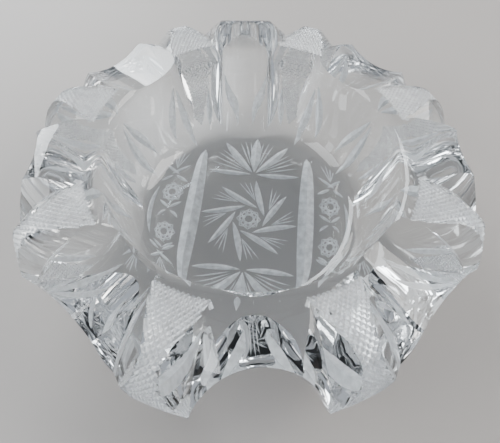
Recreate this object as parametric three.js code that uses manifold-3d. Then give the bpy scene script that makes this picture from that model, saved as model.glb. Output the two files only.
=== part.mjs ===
// A heavy cut-crystal ash dish: one piece of clear lead glass, ground by wheels on all sides.
// Millimetres, +Z up. The origin is the middle of the flat foot; a wall flute faces +Y.
import * as THREE from 'three';
import { mergeVertices } from 'three/addons/utils/BufferGeometryUtils.js';
import Module from 'manifold-3d';

// Driving dimensions of the blown blank, before it is cut
const height = 58;
const widestRadius = 98.5;
const widestHeight = 33;
const footRadius = 57;
const rimRadius = 65.5;
const lipWidth = 5.5;
const lipDrop = 6;
const shoulderStart = 78.5;
const floorThickness = 13;
const floorRadius = 40;

// Driving dimensions of the cuts. Deep flutes and broad flutes take turns round the wall,
// and a rest is cut through the rim above each broad flute.
const sectorCount = 4;
const deepFlute = {
  wheel: 26,
  top: { radius: 87, z: 66 },
  bulge: { radius: 82, z: 22 },
  foot: { radius: 50, z: -6 },
};
const broadFlute = {
  wheel: 110,
  top: { radius: 84, z: 66 },
  bulge: { radius: 107, z: 28 },
  foot: { radius: 47, z: -6 },
};
const restWheel = 32;
const restDepth = 4.5;
const restSlope = 14;
const mitreAngle = 14;
const mitreWidth = 48;
const mitreReach = 14;
const mitreBend = { radius: 90, z: 56.5 };
const mitreEnd = { radius: 98.5, z: 30 };
const footMitreOffset = 28.5;
const footMitreLength = 86;
const footMitreWidth = 8;
const footMitreDepth = 3;
const footMitreTurn = -7.5;

// Fineness of the curved faces
const blankSides = 96;
const curveSteps = 8;
const wheelSides = 32;
const fluteSteps = 10;

const wasm = await Module();
wasm.setup();

function radians(degrees) {
  return THREE.MathUtils.degToRad(degrees);
}

// A closed three.js geometry as a manifold solid
function toSolid(geometry) {
  const bare = geometry.clone();
  bare.deleteAttribute('normal');
  bare.deleteAttribute('uv');
  const merged = mergeVertices(bare, 1e-4);
  const mesh = new wasm.Mesh({
    numProp: 3,
    vertProperties: Float32Array.from(merged.attributes.position.array),
    triVerts: Uint32Array.from(merged.index.array),
  });
  return new wasm.Manifold(mesh);
}

function toGeometry(solid) {
  const mesh = solid.getMesh();
  const geometry = new THREE.BufferGeometry();
  geometry.setAttribute('position', new THREE.BufferAttribute(mesh.vertProperties, 3));
  geometry.setIndex(new THREE.BufferAttribute(mesh.triVerts, 1));
  geometry.computeVertexNormals();
  return geometry;
}

// Half the section of the blank, from the middle of the foot round to the middle of the floor
function blankSection() {
  const innerRadius = rimRadius - lipWidth;
  const section = new THREE.Path();
  section.moveTo(0, 0);
  section.lineTo(footRadius, 0);
  section.bezierCurveTo(footRadius + 20, 6, widestRadius, 18, widestRadius, widestHeight);
  section.bezierCurveTo(widestRadius, 47, 93, height - 0.5, shoulderStart, height);
  section.lineTo(rimRadius, height);
  section.quadraticCurveTo(innerRadius, height, innerRadius, height - lipDrop);
  section.bezierCurveTo(innerRadius - 1.5, 36, innerRadius - 2, floorThickness, floorRadius, floorThickness);
  section.lineTo(0, floorThickness);
  return section.getPoints(curveSteps);
}

function makeBlank() {
  const turned = new THREE.LatheGeometry(blankSection(), blankSides);
  turned.rotateX(Math.PI / 2);
  return turned;
}

// The line along the bottom of one flute, moved outward to the middle of the grinding wheel
function flutePath({ wheel, top, bulge, foot }) {
  const bottom = new THREE.QuadraticBezierCurve(
    new THREE.Vector2(top.radius, top.z),
    new THREE.Vector2(bulge.radius, bulge.z),
    new THREE.Vector2(foot.radius, foot.z),
  );
  const middle = [];
  for (let step = 0; step <= fluteSteps; step += 1) {
    const along = step / fluteSteps;
    const point = bottom.getPoint(along);
    const tangent = bottom.getTangent(along);
    const outward = new THREE.Vector2(-tangent.y, tangent.x);
    point.addScaledVector(outward, wheel);
    middle.push(new THREE.Vector3(point.x, 0, point.y));
  }
  return new THREE.CatmullRomCurve3(middle);
}

function fluteCutter(flute) {
  const round = new THREE.Shape();
  round.absarc(0, 0, flute.wheel, 0, 2 * Math.PI);
  return new THREE.ExtrudeGeometry(round, {
    steps: fluteSteps,
    curveSegments: wheelSides / 4,
    extrudePath: flutePath(flute),
  });
}

// A round-bottomed notch across the rim, to lay a cigarette in. It falls away outward.
function restCutter() {
  const length = widestRadius;
  const notch = new THREE.CylinderGeometry(restWheel, restWheel, length, wheelSides);
  notch.rotateZ(Math.PI / 2);
  notch.translate(length / 2 - 10, 0, restWheel);
  notch.rotateY(radians(restSlope));
  notch.translate(rimRadius, 0, height - restDepth);
  return notch;
}

// A V groove that starts at the rim and rounds the shoulder down to the widest ring
function shoulderMitreCutter() {
  const groove = new THREE.Shape();
  groove.moveTo(-mitreWidth / 2, -mitreReach);
  groove.lineTo(mitreWidth / 2, -mitreReach);
  groove.lineTo(0, 0);
  groove.closePath();
  const start = new THREE.Vector3(rimRadius, 0, height);
  const bend = new THREE.Vector3(mitreBend.radius, 0, mitreBend.z);
  const end = new THREE.Vector3(mitreEnd.radius, 0, mitreEnd.z);
  return new THREE.ExtrudeGeometry(groove, {
    steps: curveSteps,
    extrudePath: new THREE.QuadraticBezierCurve3(start, bend, end),
  });
}

// One straight V groove across the underside, beside the middle of the foot
function footMitreCutter(side) {
  const groove = new THREE.Shape();
  groove.moveTo(-footMitreWidth / 2, -footMitreDepth);
  groove.lineTo(footMitreWidth / 2, -footMitreDepth);
  groove.lineTo(0, footMitreDepth);
  groove.closePath();
  const cutter = new THREE.ExtrudeGeometry(groove, { depth: footMitreLength, bevelEnabled: false });
  cutter.translate(0, 0, -footMitreLength / 2);
  cutter.rotateX(Math.PI / 2);
  cutter.translate(side * footMitreOffset, 0, 0);
  cutter.rotateZ(radians(footMitreTurn));
  return cutter;
}

function turnedCopy(geometry, degrees) {
  const copy = geometry.clone();
  copy.rotateZ(radians(degrees));
  return copy;
}

function cutDish() {
  const deep = fluteCutter(deepFlute);
  const broad = fluteCutter(broadFlute);
  const rest = restCutter();
  const mitre = shoulderMitreCutter();
  const quarter = 360 / sectorCount;
  let dish = toSolid(makeBlank());
  for (let sector = 0; sector < sectorCount; sector += 1) {
    const deepAngle = 90 + sector * quarter;
    const broadAngle = deepAngle + quarter / 2;
    dish = dish.subtract(toSolid(turnedCopy(deep, deepAngle)));
    dish = dish.subtract(toSolid(turnedCopy(broad, broadAngle)));
    dish = dish.subtract(toSolid(turnedCopy(rest, broadAngle)));
    for (const middle of [deepAngle, broadAngle]) {
      dish = dish.subtract(toSolid(turnedCopy(mitre, middle - mitreAngle)));
      dish = dish.subtract(toSolid(turnedCopy(mitre, middle + mitreAngle)));
    }
  }
  for (const side of [-1, 1]) {
    dish = dish.subtract(toSolid(footMitreCutter(side)));
  }
  return toGeometry(dish);
}

const leadCrystal = new THREE.MeshStandardMaterial({ color: 0xdfe8ec, roughness: 0.05, metalness: 0 });

const dishMesh = new THREE.Mesh(cutDish(), leadCrystal);
dishMesh.name = 'cut_glass_dish';

const part = new THREE.Group();
part.add(dishMesh);

export default part;
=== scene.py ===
import math

import bmesh
import bpy
from mathutils import Matrix, Vector
from mathutils.bvhtree import BVHTree


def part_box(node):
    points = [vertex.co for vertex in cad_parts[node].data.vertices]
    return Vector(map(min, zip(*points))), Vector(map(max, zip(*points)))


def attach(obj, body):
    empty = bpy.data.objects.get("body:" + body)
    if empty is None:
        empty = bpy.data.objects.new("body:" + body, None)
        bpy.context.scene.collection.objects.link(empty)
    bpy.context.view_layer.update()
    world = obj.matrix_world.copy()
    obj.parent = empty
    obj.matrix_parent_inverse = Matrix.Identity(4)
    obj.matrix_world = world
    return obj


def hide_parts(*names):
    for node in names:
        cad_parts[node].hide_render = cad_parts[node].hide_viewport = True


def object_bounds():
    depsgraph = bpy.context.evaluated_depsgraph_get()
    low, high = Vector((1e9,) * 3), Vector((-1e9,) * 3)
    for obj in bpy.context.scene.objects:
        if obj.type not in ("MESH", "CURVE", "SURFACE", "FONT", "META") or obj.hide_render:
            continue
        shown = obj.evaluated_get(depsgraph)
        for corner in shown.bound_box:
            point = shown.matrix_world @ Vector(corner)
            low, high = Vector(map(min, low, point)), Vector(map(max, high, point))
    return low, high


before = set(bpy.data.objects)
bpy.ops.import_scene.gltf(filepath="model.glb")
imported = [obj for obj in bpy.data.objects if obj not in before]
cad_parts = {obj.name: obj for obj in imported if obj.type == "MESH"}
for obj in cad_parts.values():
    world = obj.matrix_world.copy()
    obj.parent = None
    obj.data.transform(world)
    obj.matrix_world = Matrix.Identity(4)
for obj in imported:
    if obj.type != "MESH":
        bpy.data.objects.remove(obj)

# The dish is worked out in design millimetres. unit turns one of them into metres.
dishNode = "cut_glass_dish"
designHeight = 58.0
sharpEdge = 14  # degrees; a cut edge sharper than this stays crisp
cadLow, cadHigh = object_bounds()
dishLow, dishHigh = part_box(dishNode)
unit = (dishHigh[2] - dishLow[2]) / designHeight
print("frame loaded, the dish is", round(dishHigh[0] - dishLow[0], 4), "m across")


# Shader maths

class Wire:
    # one output of a node, on which + and * add Math nodes
    def __init__(self, tree, socket):
        self.tree = tree
        self.socket = socket

    def maths(self, operation, first, second):
        return self.tree.add("ShaderNodeMath", {"operation": operation}, {0: first, 1: second})

    def __add__(self, other):
        return self.maths("ADD", self, other)

    def __radd__(self, other):
        return self.maths("ADD", other, self)

    def __mul__(self, other):
        return self.maths("MULTIPLY", self, other)

    def __rmul__(self, other):
        return self.maths("MULTIPLY", other, self)


class ShaderTree:
    def __init__(self, nodeTree):
        self.nodeTree = nodeTree
        nodeTree.nodes.clear()

    def add(self, kind, settings=None, sockets=None, output=0):
        node = self.nodeTree.nodes.new(kind)
        for name, value in (settings or {}).items():
            setattr(node, name, value)
        for name, value in (sockets or {}).items():
            if isinstance(value, Wire):
                self.nodeTree.links.new(value.socket, node.inputs[name])
            else:
                node.inputs[name].default_value = value
        return Wire(self, node.outputs[output]) if len(node.outputs) else node


# Solids

def bezier(corners, steps):
    # points along a Bezier curve, without its first corner
    points = []
    for step in range(1, steps + 1):
        layer = [Vector(corner) for corner in corners]
        while len(layer) > 1:
            layer = [a.lerp(b, step / steps) for a, b in zip(layer, layer[1:])]
        points.append(layer[0])
    return points


def loft(rings):
    # a closed solid through rings of points, as its points and faces
    count = len(rings[0])
    points = [point for ring in rings for point in ring]
    faces = []
    for row in range(len(rings) - 1):
        for column in range(count):
            after = (column + 1) % count
            faces.append((row * count + column, row * count + after,
                          (row + 1) * count + after, (row + 1) * count + column))
    last = (len(rings) - 1) * count
    faces.append(tuple(reversed(range(count))))
    faces.append(tuple(range(last, last + count)))
    return points, faces


def solidObject(name, solids, finish=0):
    # one object holding several solids that don't touch each other
    points, faces = [], []
    for solidPoints, solidFaces in solids:
        start = len(points)
        points += solidPoints
        faces += [tuple(start + corner for corner in face) for face in solidFaces]
    mesh = bpy.data.meshes.new(name)
    mesh.from_pydata(points, [], faces)
    work = bmesh.new()
    work.from_mesh(mesh)
    bmesh.ops.recalc_face_normals(work, faces=work.faces)
    work.to_mesh(mesh)
    work.free()
    for face in mesh.polygons:
        face.material_index = finish
    made = bpy.data.objects.new(name, mesh)
    bpy.context.scene.collection.objects.link(made)
    return made


def cutAway(body, cutter, finishes):
    # grinds the cutter out of the body; the fresh faces keep the cutter's finish
    for finish in finishes:
        cutter.data.materials.append(finish)
    grind = body.modifiers.new("grind", "BOOLEAN")
    grind.operation = "DIFFERENCE"
    grind.solver = "MANIFOLD"
    grind.material_mode = "INDEX"
    grind.object = cutter
    evaluated = body.evaluated_get(bpy.context.evaluated_depsgraph_get())
    ground = bpy.data.meshes.new_from_object(evaluated)
    body.modifiers.clear()
    old = body.data
    body.data = ground
    bpy.data.meshes.remove(old)
    cutterMesh = cutter.data
    bpy.data.objects.remove(cutter)
    bpy.data.meshes.remove(cutterMesh)


def turned(solid, degrees):
    turn = Matrix.Rotation(math.radians(degrees), 3, "Z")
    points, faces = solid
    return [turn @ point for point in points], faces


# The blank, before it is cut

polished, ground, hatched, skin = 0, 1, 2, 3  # the finishes, in the order of the dish's material slots
blank = {
    "widestRadius": 98.5,
    "widestHeight": 33,
    "lowerCurve": ((77, 6), (98.5, 18)),
    "upperCurve": ((98.5, 47), (93, 57.5)),
    "footRadius": 57,
    "rimRadius": 65.5,
    "lipWidth": 5.5,
    "lipDrop": 6,
    "shoulderStart": 78.5,
    "floorThickness": 13,
    "floorRadius": 40,
    "wallCurve": ((58.5, 36), (58, 13)),
    "flatWidth": 6,
    "shares": (0.33, 0.66),  # rings across the flat foot and floor, as shares of their radius
    "sides": 288,
    "steps": 24,
}


def blankSection():
    steps, top, rim = blank["steps"], designHeight, blank["rimRadius"]
    foot = (blank["footRadius"], 0)
    widest = (blank["widestRadius"], blank["widestHeight"])
    inner = rim - blank["lipWidth"]
    lip = (inner, top - blank["lipDrop"])
    floor = (blank["floorRadius"], blank["floorThickness"])
    section = [Vector((foot[0] * share, 0)) for share in (0, *blank["shares"], 1)]
    section += bezier([foot, *blank["lowerCurve"], widest], steps)
    section += bezier([widest, *blank["upperCurve"], (blank["shoulderStart"], top)], steps)
    section += [Vector((rim + blank["flatWidth"], top)), Vector((rim, top))]
    section += bezier([(rim, top), (inner, top), lip], steps // 2)
    section += bezier([lip, *blank["wallCurve"], floor], steps)
    section += [Vector((floor[0] * share, floor[1])) for share in (*reversed(blank["shares"]), 0)]
    return section


def makeBlank(finishes):
    # a lathe turns the section; a ring on the axis is one point
    section, sides = blankSection(), blank["sides"]
    onAxis = 1e-6
    points, faces, rings = [], [], []
    for radius, height in section:
        if radius < onAxis:
            rings.append([len(points)] * sides)
            points.append(Vector((0, 0, height)))
            continue
        rings.append(list(range(len(points), len(points) + sides)))
        for side in range(sides):
            around = 2 * math.pi * side / sides
            points.append(Vector((radius * math.cos(around), radius * math.sin(around), height)))
    for lower, upper in zip(rings, rings[1:]):
        for side in range(sides):
            after = (side + 1) % sides
            corners = dict.fromkeys((lower[side], lower[after], upper[after], upper[side]))
            faces.append(tuple(corners))
    dish = solidObject("cutGlassDish", [(points, faces)])
    for finish in finishes:
        dish.data.materials.append(finish)
    facingDown = -0.999
    for face in dish.data.polygons:
        outside = face.center.xy.length > blank["rimRadius"] or face.normal.xy.dot(face.center.xy) > 0
        face.material_index = skin if outside and face.normal[2] > facingDown else polished
    return dish


# The big cuts: deep and broad flutes by turns, rests through the rim, grooves over the shoulder

bigCuts = {
    "sectors": 4,
    "deepFlute": {"wheel": 26, "top": (87, 66), "bulge": (82, 22), "foot": (50, -6), "sides": 96},
    "broadFlute": {"wheel": 110, "top": (84, 66), "bulge": (107, 28), "foot": (47, -6), "sides": 240},
    "fluteSteps": 32,
    "restWheel": 32,
    "restDepth": 4.5,
    "restSlope": 14,
    "restSides": 128,
    "restEnds": (-12, 90),
    "mitreAngle": 14,
    "mitreWidth": 48,
    "mitreReach": 14,
    "mitreBend": (90, 56.5),
    "mitreEnd": (98.5, 30),
    "mitreSteps": 28,
}


def sweptAlong(path, section):
    # a section of (sideways, outward) offsets swept along a path of (radius, height), facing +X
    rings = []
    for index, (radius, height) in enumerate(path):
        before = path[max(index - 1, 0)]
        after = path[min(index + 1, len(path) - 1)]
        along = (Vector(after) - Vector(before)).normalized()
        outward = Vector((-along[1], along[0]))
        rings.append([Vector((radius + outward[0] * out, side, height + outward[1] * out))
                      for side, out in section])
    return loft(rings)


def fluteCutter(flute):
    path = [Vector(flute["top"])]
    path += bezier([flute["top"], flute["bulge"], flute["foot"]], bigCuts["fluteSteps"])
    wheel, sides = flute["wheel"], flute["sides"]
    section = []
    for side in range(sides):
        around = 2 * math.pi * side / sides
        section.append((wheel * math.sin(around), wheel - wheel * math.cos(around)))
    return sweptAlong(path, section)


def restCutter():
    wheel, sides = bigCuts["restWheel"], bigCuts["restSides"]
    slope = math.radians(bigCuts["restSlope"])
    rings = []
    for along in bigCuts["restEnds"]:
        ring = []
        for side in range(sides):
            around = 2 * math.pi * side / sides
            lift = wheel - wheel * math.cos(around)
            radius = blank["rimRadius"] + along * math.cos(slope) + lift * math.sin(slope)
            height = designHeight - bigCuts["restDepth"] - along * math.sin(slope) + lift * math.cos(slope)
            ring.append(Vector((radius, wheel * math.sin(around), height)))
        rings.append(ring)
    return loft(rings)


def shoulderMitreCutter():
    start = (blank["rimRadius"], designHeight)
    path = [Vector(start)] + bezier([start, bigCuts["mitreBend"], bigCuts["mitreEnd"]], bigCuts["mitreSteps"])
    half, reach = bigCuts["mitreWidth"] / 2, bigCuts["mitreReach"]
    return sweptAlong(path, [(0, 0), (half, reach), (-half, reach)])


def makeBigCuts(dish, finishes):
    quarter = 360 / bigCuts["sectors"]
    deepAngles = [90 + quarter * sector for sector in range(bigCuts["sectors"])]
    broadAngles = [angle + quarter / 2 for angle in deepAngles]
    deep, broad = fluteCutter(bigCuts["deepFlute"]), fluteCutter(bigCuts["broadFlute"])
    rest, mitre = restCutter(), shoulderMitreCutter()
    turn = bigCuts["mitreAngle"]
    batches = [
        ([turned(deep, angle) for angle in deepAngles], polished),
        ([turned(broad, angle) for angle in broadAngles[::2]], polished),
        ([turned(broad, angle) for angle in broadAngles[1::2]], polished),
        ([turned(rest, angle) for angle in broadAngles], polished),
        ([turned(mitre, angle - turn) for angle in deepAngles + broadAngles], polished),
        ([turned(mitre, angle + turn) for angle in deepAngles + broadAngles], polished),
    ]
    for solids, finish in batches:
        cutAway(dish, solidObject("cutter", solids, finish), finishes)


# Grooves cut by the rim of a wheel

def grooveCutter(path, width, depth, lift, swell):
    # a V groove along a path of (point, normal); swell gives its share of full width along the way
    rings = []
    last = len(path) - 1
    for index, (point, normal) in enumerate(path):
        before, after = path[max(index - 1, 0)][0], path[min(index + 1, last)][0]
        side = normal.cross(after - before).normalized()
        share = swell(index / last)
        half, deep = width / 2 * share, depth * share
        out = half * (deep + lift) / deep
        rings.append([point - normal * deep, point + side * out + normal * lift,
                      point - side * out + normal * lift])
    return loft(rings)


grooveTip = 0.03  # the least share of its width that a groove ends in


def leaf(along, fullness=0.7):
    return max(grooveTip, math.sin(math.pi * along) ** fullness)


def fullLeaf(along):
    return leaf(along, 0.35)


def even(along):
    return 1


def boxOf(solid):
    points = solid[0]
    low = [min(point[axis] for point in points) for axis in range(3)]
    high = [max(point[axis] for point in points) for axis in range(3)]
    return low, high


def cutInBatches(body, solids, finishes, finish):
    # cutters whose boxes stay apart are ground away together
    batches = []
    for solid in solids:
        low, high = boxOf(solid)
        for batch in batches:
            if all(any(low[axis] > otherHigh[axis] or high[axis] < otherLow[axis] for axis in range(3))
                   for otherSolid, otherLow, otherHigh in batch):
                batch.append((solid, low, high))
                break
        else:
            batches.append([(solid, low, high)])
    for batch in batches:
        cutAway(body, solidObject("cutter", [solid for solid, low, high in batch], finish), finishes)
    return len(batches)


# Fine cutting on the outer wall: long blades, and cross-hatched panels

wallCuts = {
    "ringRadius": 68,
    "ringHeight": 25,
    "reach": 60,
    "steps": 18,
    "lift": 1.6,
    "evenOut": 2,  # how many neighbours on each side even out a normal
    # each blade's route is of (degrees off the middle of a deep flute, tilt round the wall)
    "blades": [
        {"route": [(30, 7), (29.5, -50), (29.5, -112)], "width": 5.8, "depth": 1.9},
        {"route": [(15.8, -8), (16.6, -45), (18.4, -84)], "width": 4.0, "depth": 1.3},
        {"route": [(31, 12), (36, -18), (38.5, -92)], "width": 5.2, "depth": 1.6},
        {"route": [(9, 30), (6, -36), (4, -104)], "width": 5.4, "depth": 1.7},
    ],
}
hatching = {
    "middle": 22.5,
    "left": 14,
    "right": 31,
    "shoulder": 8,
    "overrun": 2,
    "tip": -82,
    "top": 100,
    "halfWidth": 16,
    "acrossDegree": 1.66,
    "downDegree": 0.56,
    "pitch": 1.8,
    "width": 1.7,
    "depth": 0.5,
    "lift": 0.4,
}


def treeOf(dish):
    mesh = dish.data
    return BVHTree.FromPolygons([vertex.co for vertex in mesh.vertices],
                                [tuple(face.vertices) for face in mesh.polygons])


def wallPoint(tree, around, tilt):
    # where a ray from the middle of the ring of glass leaves through the wall
    turn, lean = math.radians(around), math.radians(tilt)
    flat = Vector((math.cos(turn), math.sin(turn), 0))
    start = flat * wallCuts["ringRadius"] + Vector((0, 0, wallCuts["ringHeight"]))
    ray = flat * math.cos(lean) + Vector((0, 0, math.sin(lean)))
    point, normal, face, far = tree.ray_cast(start, ray, wallCuts["reach"])
    return point, normal, face


def smoothed(met, index):
    reach = wallCuts["evenOut"]
    near = met[max(index - reach, 0):index + reach + 1]
    return sum((other[1] for other in near), Vector()).normalized()


def sectorHands():
    quarter = 360 / bigCuts["sectors"]
    return [(90 + quarter * sector, hand) for sector in range(bigCuts["sectors"]) for hand in (-1, 1)]


def wallBlades(tree):
    solids = []
    for blade in wallCuts["blades"]:
        route = [Vector(blade["route"][0])] + bezier(blade["route"], wallCuts["steps"])
        for middle, hand in sectorHands():
            met = [wallPoint(tree, middle + hand * around, tilt) for around, tilt in route]
            path = [(met[index][0], smoothed(met, index)) for index in range(len(met))]
            solids.append(grooveCutter(path, blade["width"], blade["depth"], wallCuts["lift"], leaf))
    return solids


def inPanel(around, tilt):
    # open to the rim above, a triangle that ends in a tip below
    left, right, middle = hatching["left"], hatching["right"], hatching["middle"]
    if tilt > hatching["shoulder"]:
        return left - hatching["overrun"] < around < right + hatching["overrun"]
    share = (tilt - hatching["tip"]) / (hatching["shoulder"] - hatching["tip"])
    return share > 0 and middle + (left - middle) * share < around < middle + (right - middle) * share


def hatchLine(tree, onSkin, middle, hand, start, lean):
    # one line of the hatching, split where the blown skin is cut away
    step = hatching["pitch"] / math.sqrt(2)
    half = hatching["halfWidth"]
    runs = [[]]
    for stride in range(int(2 * half / step) + 1):
        across = -half + stride * step
        down = start + lean * across
        around = hatching["middle"] + across / hatching["acrossDegree"]
        tilt = down / hatching["downDegree"]
        if tilt < hatching["top"] and inPanel(around, tilt):
            point, normal, face = wallPoint(tree, middle + hand * around, tilt)
            if point is not None and onSkin[face]:
                runs[-1].append((point, normal))
                continue
        runs.append([])
    cutters = []
    for run in runs:
        if len(run) > 1:
            path = [(run[index][0], smoothed(run, index)) for index in range(len(run))]
            cutters.append(grooveCutter(path, hatching["width"], hatching["depth"], hatching["lift"], even))
    return cutters


def cutHatching(dish, finishes):
    tree = treeOf(dish)
    onSkin = [face.material_index == skin for face in dish.data.polygons]
    spacing = hatching["pitch"] * math.sqrt(2)
    low = hatching["tip"] * hatching["downDegree"] - hatching["halfWidth"]
    high = hatching["top"] * hatching["downDegree"] + hatching["halfWidth"]
    lines = int((high - low) / spacing)
    # every other line at a time, because neighbouring cutters meet above the glass
    for lean, first in ((-1, 0), (-1, 1), (1, 0), (1, 1)):
        solids = []
        for middle, hand in sectorHands():
            for line in range(first, lines, 2):
                solids += hatchLine(tree, onSkin, middle, hand, low + line * spacing, lean)
        cutAway(dish, solidObject("cutter", solids, hatched), finishes)


# The picture cut into the underside, seen through the floor of the bowl

fineSteps = 6  # steps along a short or fine groove
basePicture = {
    "turn": -7.5,
    "lift": 0.8,
    "slope": 0.34,
    "longGroove": {"offset": 28.5, "length": 86, "width": 8, "depth": 2.6, "steps": 24},
    "pinwheel": {"blades": 8, "first": 86, "tip": 24, "root": 8, "swirl": 68, "width": 3.2, "bow": 0.06},
    "pinwheelFan": {"root": 11.5, "rootTurn": -8, "tip": 23, "turns": (8, 15, 22), "width": 0.7},
    "star": {"points": 8, "radius": 6.2, "chords": ((3, 1.0), (2, 0.8))},
    "sideStars": [(41, 12), (41, -12)],
    "palmette": {"height": 28, "blades": ((0, 27, 5.2), (39, 28, 4.2), (88, 24, 3.0)),
                 "lines": ((9, 24), (16, 25), (23, 24), (50, 24), (57, 25), (65, 25), (74, 24)),
                 "lineWidth": 0.8, "root": 6, "bladeRoot": 1.5, "bow": 0.05},
    "crescent": {"x": 50, "reach": 15, "width": 3.4, "bow": 0.17, "steps": 20},
    "chevron": {"below": 9.6, "half": 6, "rise": 4, "width": 1.7},
    "arcs": {"x": 41, "start": (1, 0.5), "end": (5.5, -3.5), "width": 1.5, "bow": 0.18},
    # strokes run from one place to another, measured out and up from the middle of the cross
    "cross": {"x": 42, "y": 26, "strokes": (((-2.5, -2), (8, 4.5)), ((1, -3), (8, -7))), "width": 2.0,
              "steps": 8},
    "sprig": {"x": 42, "y": 28, "length": 13, "turns": (-22, -7, 8, 23), "width": 0.8},
}


def baseGroove(start, end, width, bow=0, deep=None, swell=leaf, steps=12):
    # a groove under the base, from start to end, bowed sideways by a share of its length
    start, end = Vector(start).to_3d(), Vector(end).to_3d()
    middle = (start + end) / 2 + Vector((start[1] - end[1], end[0] - start[0], 0)) * bow
    route = [start] + bezier([start, middle, end], steps)
    path = [(point, Vector((0, 0, -1))) for point in route]
    depth = deep or width * basePicture["slope"]
    return grooveCutter(path, width, depth, basePicture["lift"], swell)


def polar(radius, degrees, centre=(0, 0)):
    turn = math.radians(degrees)
    return (centre[0] + radius * math.cos(turn), centre[1] + radius * math.sin(turn))


def starGrooves(centre):
    star = basePicture["star"]
    tips = [polar(star["radius"], 90 + 360 / star["points"] * tip, centre) for tip in range(star["points"])]
    return [baseGroove(tips[tip], tips[(tip + skip) % star["points"]], width, steps=fineSteps)
            for skip, width in star["chords"] for tip in range(star["points"])]


def pinwheelGrooves():
    wheel, fan = basePicture["pinwheel"], basePicture["pinwheelFan"]
    grooves = []
    for blade in range(wheel["blades"]):
        turn = wheel["first"] - 360 / wheel["blades"] * blade
        grooves.append(baseGroove(polar(wheel["root"], turn - wheel["swirl"]), polar(wheel["tip"], turn),
                                  wheel["width"], wheel["bow"]))
        for more in fan["turns"]:
            grooves.append(baseGroove(polar(fan["root"], turn + fan["rootTurn"]),
                                      polar(fan["tip"], turn + more), fan["width"], steps=fineSteps))
    return grooves


def palmetteGrooves(way):
    # a fan of blades and fine lines that opens towards the edge; way is 1 above, -1 below
    fan = basePicture["palmette"]
    apex = (0, way * fan["height"])
    grooves = []
    for lean, length, width in fan["blades"]:
        for hand in ((-1, 1) if lean else (1,)):
            turn = way * 90 + hand * lean
            bow = fan["bow"] * hand if lean else 0
            grooves.append(baseGroove(polar(fan["bladeRoot"], turn, apex), polar(length, turn, apex),
                                      width, bow))
    for lean, length in fan["lines"]:
        for hand in (-1, 1):
            turn = way * 90 + hand * lean
            grooves.append(baseGroove(polar(fan["root"], turn, apex), polar(length, turn, apex),
                                      fan["lineWidth"], steps=fineSteps))
    return grooves


def sideGrooves(hand):
    # the two stars beside a long groove and the small cuts round them
    crescent, chevron, arcs = basePicture["crescent"], basePicture["chevron"], basePicture["arcs"]
    cross, sprig = basePicture["cross"], basePicture["sprig"]
    grooves = []
    for x, y in basePicture["sideStars"]:
        grooves += starGrooves((hand * x, y))
        low = y - chevron["below"]
        for side in (-1, 1):
            end = (hand * x + side * chevron["half"], low + chevron["rise"])
            grooves.append(baseGroove((hand * x, low), end, chevron["width"]))
    grooves.append(baseGroove((hand * crescent["x"], crescent["reach"]),
                              (hand * crescent["x"], -crescent["reach"]), crescent["width"],
                              hand * crescent["bow"], steps=crescent["steps"]))
    for side in (-1, 1):
        start, end = [(hand * arcs["x"] + side * out, up) for out, up in (arcs["start"], arcs["end"])]
        grooves.append(baseGroove(start, end, arcs["width"], side * arcs["bow"]))
    for way in (-1, 1):
        for side in (-1, 1):
            for stroke in cross["strokes"]:
                start, end = [(hand * cross["x"] + side * out, way * (cross["y"] + up)) for out, up in stroke]
                grooves.append(baseGroove(start, end, cross["width"], steps=cross["steps"]))
        for turn in sprig["turns"]:
            start = (hand * sprig["x"], way * sprig["y"])
            grooves.append(baseGroove(start, polar(sprig["length"], way * (90 + turn), start),
                                      sprig["width"], steps=fineSteps))
    return grooves


def cutBasePicture(dish, finishes):
    long = basePicture["longGroove"]
    grooves = []
    for hand in (-1, 1):
        x = hand * long["offset"]
        grooves.append(baseGroove((x, -long["length"] / 2), (x, long["length"] / 2), long["width"],
                                  0, long["depth"], fullLeaf, long["steps"]))
    grooves += starGrooves((0, 0)) + pinwheelGrooves()
    for way in (-1, 1):
        grooves += palmetteGrooves(way) + sideGrooves(way)
    grooves = [turned(groove, basePicture["turn"]) for groove in grooves]
    return cutInBatches(dish, grooves, finishes, ground)


# Finishes

crystal = {
    "refraction": 1.54,
    "tint": (0.972, 0.985, 0.992, 1),
    "tintDeep": (0.93, 0.96, 0.975, 1),
    "groundTint": (0.96, 0.975, 0.985, 1),
    "groundMilk": (0.90, 0.93, 0.95, 1),
    "groundWhite": (0.98, 0.99, 1.0, 1),
    # polish: least roughness, what smears add, and the ripple's strength, size and depth
    "polish": 0.006,
    "smear": 0.03,
    "smearScale": 160,
    "ripple": 0.035,
    "rippleScale": 45,
    "rippleDepth": 0.004,
    # ground glass: how milky the blades and the hatching are, and the wheel's marks
    "milk": 0.8,
    "hatchMilk": 0.34,
    "milkFloor": 0.5,
    "milkRough": 0.45,
    "groundRough": 0.22,
    "roughFloor": 0.4,
    "roughSpread": 1.2,
    "gritScale": 1500,
    "waveScale": 300,
    "gritShare": 0.35,
    "waveShare": 0.65,
    "markStrength": 0.5,
    "markDepth": 0.0006,
}
objectPlace = 3  # the Object output of a Texture Coordinate node


def crystalShader(tree, colour, rough, normal):
    return tree.add("ShaderNodeBsdfPrincipled", {}, {
        "Base Color": colour, "Roughness": rough, "Normal": normal,
        "Transmission Weight": 1, "IOR": crystal["refraction"]})


def shareOut(tree, amount, first, second):
    # a colour between two; the colour result is a Mix node's third output
    return tree.add("ShaderNodeMix", {"data_type": "RGBA"}, {"Factor": amount, "A": first, "B": second}, 2)


def noise(tree, place, scale, detail):
    return tree.add("ShaderNodeTexNoise", {}, {"Vector": place, "Scale": scale, "Detail": detail})


def bump(tree, height, strength, depth):
    return tree.add("ShaderNodeBump", {}, {"Height": height, "Strength": strength, "Distance": depth})


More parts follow.
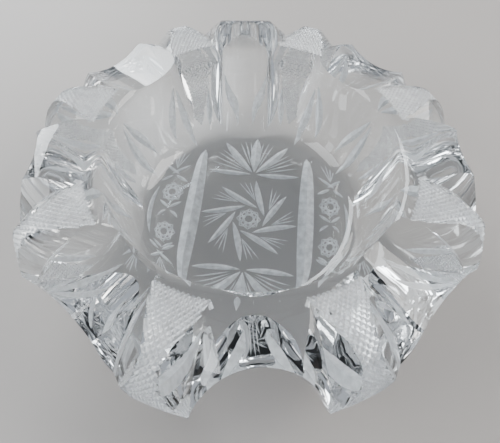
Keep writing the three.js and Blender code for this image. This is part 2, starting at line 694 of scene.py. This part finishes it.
def polishedFinish(material):
    # fire-bright polish, with the faint ripple and smears that hand polishing leaves
    tree = ShaderTree(material.node_tree)
    place = tree.add("ShaderNodeTexCoord", output=objectPlace)
    ripple = noise(tree, place, crystal["rippleScale"], 2)
    smear = noise(tree, place, crystal["smearScale"], 5)
    normal = bump(tree, ripple, crystal["ripple"], crystal["rippleDepth"])
    colour = shareOut(tree, smear, crystal["tint"], crystal["tintDeep"])
    rough = crystal["polish"] + crystal["smear"] * smear * smear
    shader = crystalShader(tree, colour, rough, normal)
    tree.add("ShaderNodeOutputMaterial", {}, {"Surface": shader})


def groundFinish(material, milk):
    # what the grinding wheel leaves: a satin bite with fine running marks, whiter than the polish
    tree = ShaderTree(material.node_tree)
    place = tree.add("ShaderNodeTexCoord", output=objectPlace)
    grit = noise(tree, place, crystal["gritScale"], 4)
    waves = noise(tree, place, crystal["waveScale"], 3)
    height = crystal["gritShare"] * grit + crystal["waveShare"] * waves
    normal = bump(tree, height, crystal["markStrength"], crystal["markDepth"])
    colour = shareOut(tree, waves, crystal["groundTint"], crystal["tintDeep"])
    rough = crystal["groundRough"] * (crystal["roughFloor"] + crystal["roughSpread"] * waves)
    glass = crystalShader(tree, colour, rough, normal)
    bloom = tree.add("ShaderNodeBsdfPrincipled", {}, {
        "Base Color": shareOut(tree, grit, crystal["groundMilk"], crystal["groundWhite"]),
        "Roughness": crystal["milkRough"], "Normal": normal})
    cloudy = milk * (crystal["milkFloor"] + waves)
    mixed = tree.add("ShaderNodeMixShader", {}, {0: cloudy, 1: glass, 2: bloom})
    tree.add("ShaderNodeOutputMaterial", {}, {"Surface": mixed})


def floorFinish(material):
    tree = ShaderTree(material.node_tree)
    place = tree.add("ShaderNodeTexCoord", output=objectPlace)
    mottle = noise(tree, place, studio["mottleScale"], 6)
    colour = shareOut(tree, mottle, studio["floorLight"], studio["floorDark"])
    shader = tree.add("ShaderNodeBsdfPrincipled", {}, {
        "Base Color": colour, "Roughness": studio["floorRough"]})
    tree.add("ShaderNodeOutputMaterial", {}, {"Surface": shader})


# The studio

studio = {
    "floorLight": (0.43, 0.40, 0.375, 1),
    "floorDark": (0.39, 0.365, 0.345, 1),
    "floorHalf": 3.0,
    "floorGap": 0.0002,
    "floorRough": 0.6,
    "mottleScale": 9,
    "sky": (0.80, 0.86, 0.95, 1),
    "skyStrength": 0.55,
    # each light faces the dish; its place is in dish heights, its size in metres and its power in watts
    "lights": [
        {"at": (-10, 17, 9), "size": (1.0, 0.6), "power": 24, "colour": (0.93, 0.97, 1.0)},
        {"at": (15, 3, 10), "size": (0.5, 0.9), "power": 10, "colour": (1.0, 0.97, 0.93)},
        {"at": (-16, -3, 8), "size": (0.5, 0.9), "power": 9, "colour": (0.95, 0.98, 1.0)},
    ],
}
camera = {
    "lens": 32.4,
    "sensor": 36,
    "elevation": 57.81,
    "azimuth": -4.5,
    "roll": 3.0,
    "distance": 225.1,
    "lookAt": (0.77, -0.69, 4.16),
}


def makeFloor():
    half = studio["floorHalf"]
    mesh = bpy.data.meshes.new("floor")
    corners = [(-half, -half, 0), (half, -half, 0), (half, half, 0), (-half, half, 0)]
    mesh.from_pydata(corners, [], [(0, 1, 2, 3)])
    floor = bpy.data.objects.new("floor", mesh)
    bpy.context.scene.collection.objects.link(floor)
    floor.location.z = cadLow[2] - studio["floorGap"]
    paint = bpy.data.materials.new("paleFloor")
    paint.use_nodes = True
    floorFinish(paint)
    mesh.materials.append(paint)


def makeLights():
    height = designHeight * unit
    for index, light in enumerate(studio["lights"]):
        lamp = bpy.data.lights.new("softbox" + str(index), "AREA")
        lamp.shape = "RECTANGLE"
        lamp.size, lamp.size_y = light["size"]
        lamp.energy = light["power"]
        lamp.color = light["colour"]
        stand = bpy.data.objects.new(lamp.name, lamp)
        stand.location = Vector(light["at"]) * height
        stand.rotation_euler = (-stand.location).to_track_quat("-Z", "Y").to_euler()
        bpy.context.scene.collection.objects.link(stand)
    world = bpy.data.worlds.new("softSky")
    world.use_nodes = True
    tree = ShaderTree(world.node_tree)
    sky = tree.add("ShaderNodeBackground", {}, {"Color": studio["sky"], "Strength": studio["skyStrength"]})
    tree.add("ShaderNodeOutputWorld", {}, {"Surface": sky})
    bpy.context.scene.world = world


def makeCamera():
    lens = bpy.data.cameras.new("camera")
    lens.lens, lens.sensor_width = camera["lens"], camera["sensor"]
    stand = bpy.data.objects.new("camera", lens)
    lift = math.radians(camera["elevation"])
    back = Vector((0, -math.cos(lift), math.sin(lift)))
    place = Vector(camera["lookAt"]) + back * camera["distance"]
    up = Vector((0, math.sin(lift), math.cos(lift)))
    view = Matrix((Vector((1, 0, 0)), up, back)).transposed().to_4x4()
    view = view @ Matrix.Rotation(math.radians(camera["roll"]), 4, "Z")
    view.translation = place * unit
    stand.matrix_world = Matrix.Rotation(math.radians(camera["azimuth"]), 4, "Z") @ view
    bpy.context.scene.collection.objects.link(stand)
    bpy.context.scene.camera = stand


# Making

makeCamera()
makeFloor()
makeLights()
print("studio set up")

finishNames = ("polishedCrystal", "groundCrystal", "hatchedCrystal", "blownSkin")
finishes = [bpy.data.materials.new(name) for name in finishNames]
for finish in finishes:
    finish.use_nodes = True
polishedFinish(finishes[polished])
groundFinish(finishes[ground], crystal["milk"])
groundFinish(finishes[hatched], crystal["hatchMilk"])
polishedFinish(finishes[skin])
print("finishes made")

dish = makeBlank(finishes)
makeBigCuts(dish, finishes)
print("blank ground to shape,", len(dish.data.polygons), "faces")
blades = wallBlades(treeOf(dish))
cutHatching(dish, finishes)
print("panels hatched,", len(dish.data.polygons), "faces")
batches = cutInBatches(dish, blades, finishes, ground)
print("wall blades cut in", batches, "batches")
batches = cutBasePicture(dish, finishes)
print("base picture cut in", batches, "batches,", len(dish.data.polygons), "faces")

mesh = dish.data
mesh.transform(Matrix.Scale(unit, 4))
mesh.shade_smooth()
mesh.set_sharp_from_angle(angle=math.radians(sharpEdge))
corners = sum(len(face.vertices) - 2 for face in mesh.polygons)
print("dish finished,", corners, "triangles")

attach(dish, "root")
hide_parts(dishNode)
